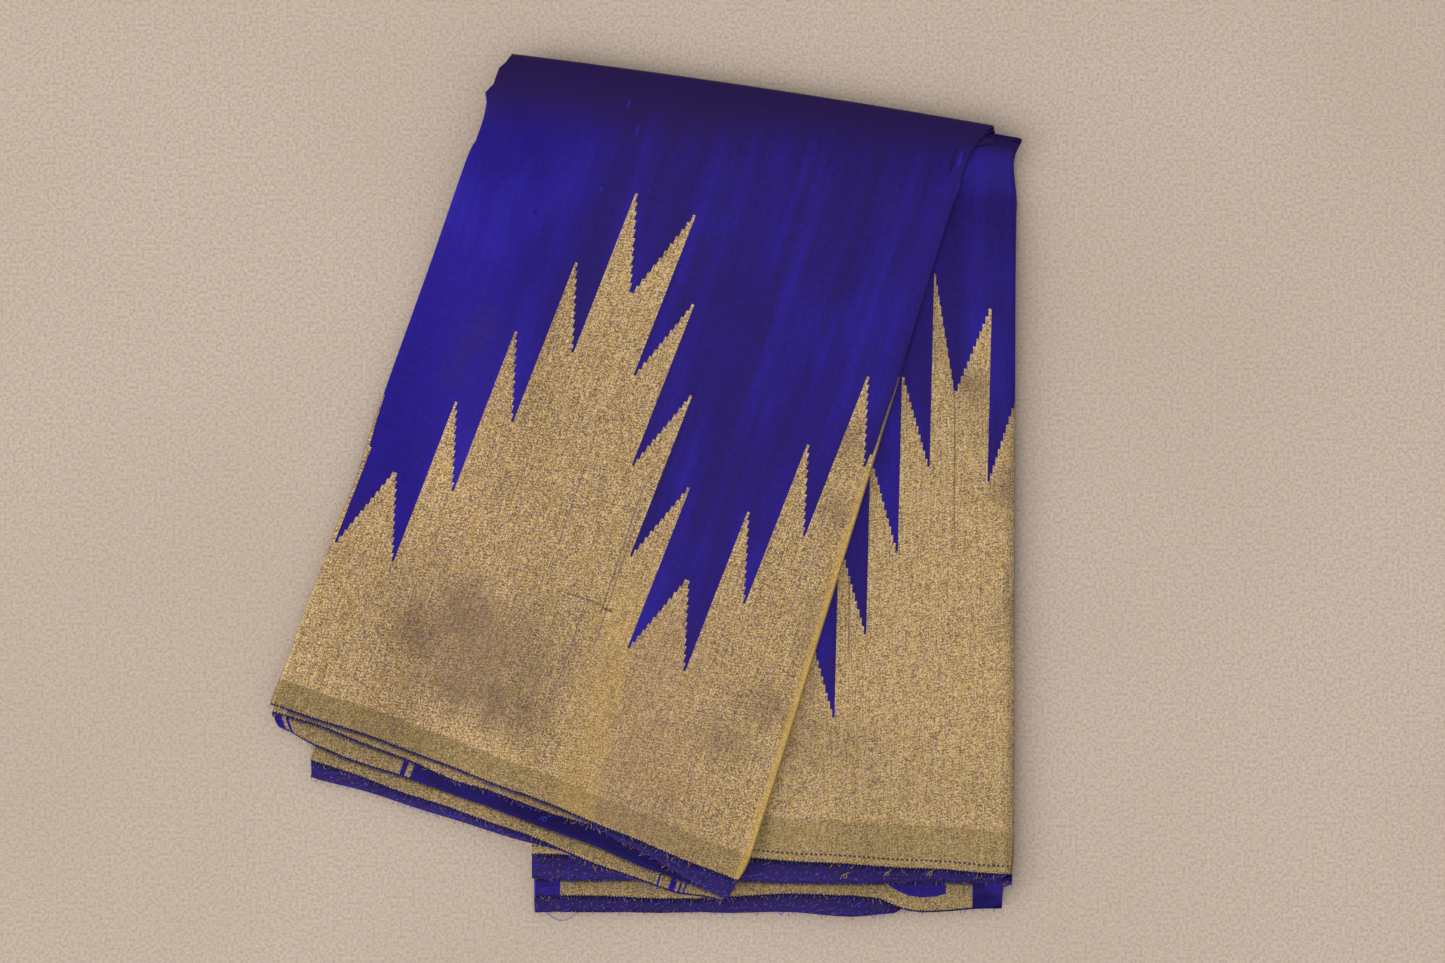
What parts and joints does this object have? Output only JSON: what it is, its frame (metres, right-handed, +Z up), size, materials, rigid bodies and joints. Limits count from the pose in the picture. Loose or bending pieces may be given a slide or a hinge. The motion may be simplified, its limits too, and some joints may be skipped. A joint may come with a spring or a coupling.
{
  "type": "folded silk sari",
  "caption": "Silk sari with a deep gold-woven border, pleated into a flat strip and folded over on a slant so that both borders show.",
  "frame": {"origin": "middle of the bundle's box, on the surface it lies on", "axes": "+Y from the lower hem to the roll of the big fold, +X to the right across the lower half, +Z up"},
  "size_m": [0.5764, 0.6628, 0.0254],
  "materials": {
    "silk": "woven silk with metallic gold border"
  },
  "bodies": {
    "root": {"sari": "silk"}
  },
  "joints": []
}
